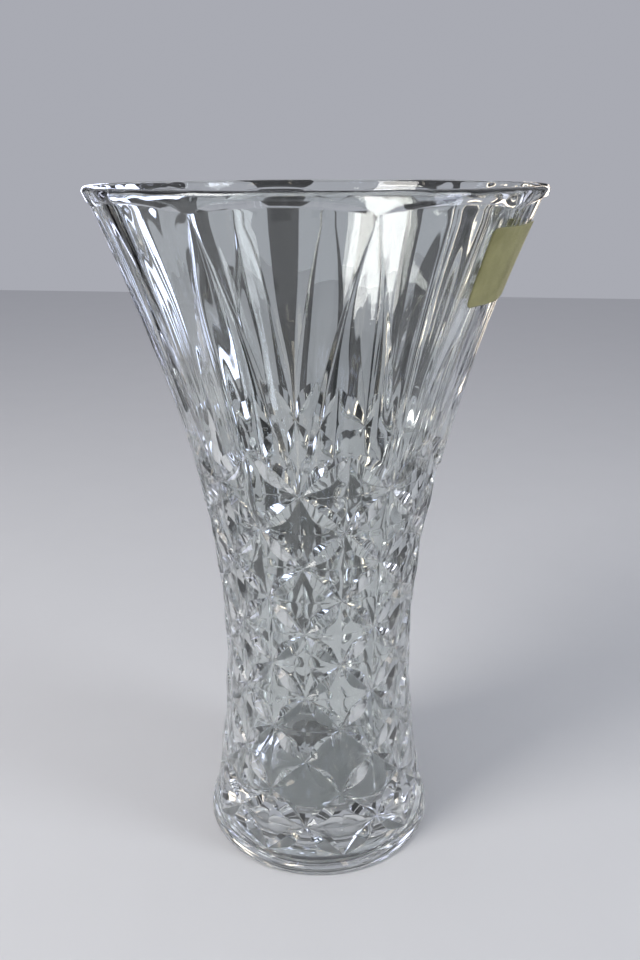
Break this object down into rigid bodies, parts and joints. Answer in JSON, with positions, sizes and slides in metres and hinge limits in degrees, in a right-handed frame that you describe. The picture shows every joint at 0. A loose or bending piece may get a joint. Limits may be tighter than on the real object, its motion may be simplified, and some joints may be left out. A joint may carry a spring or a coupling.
{
  "type": "vase",
  "caption": "Flared cut crystal vase with a thick base, fluted upper wall and a lattice of lens-shaped cuts, for holding cut flowers in water.",
  "frame": {"origin": "on the surface the vase stands on, at the axis of the bore", "axes": "+Z along the axis of the bore, up through the mouth; -Y faces the first column of the lattice"},
  "size_m": [0.1526, 0.1526, 0.25],
  "materials": {
    "crystal_glass": "fire-polished, clear",
    "label_paper": "aged translucent paper, blank"
  },
  "bodies": {
    "root": {"vase_body": "crystal_glass", "blank_label": "label_paper"}
  },
  "joints": []
}
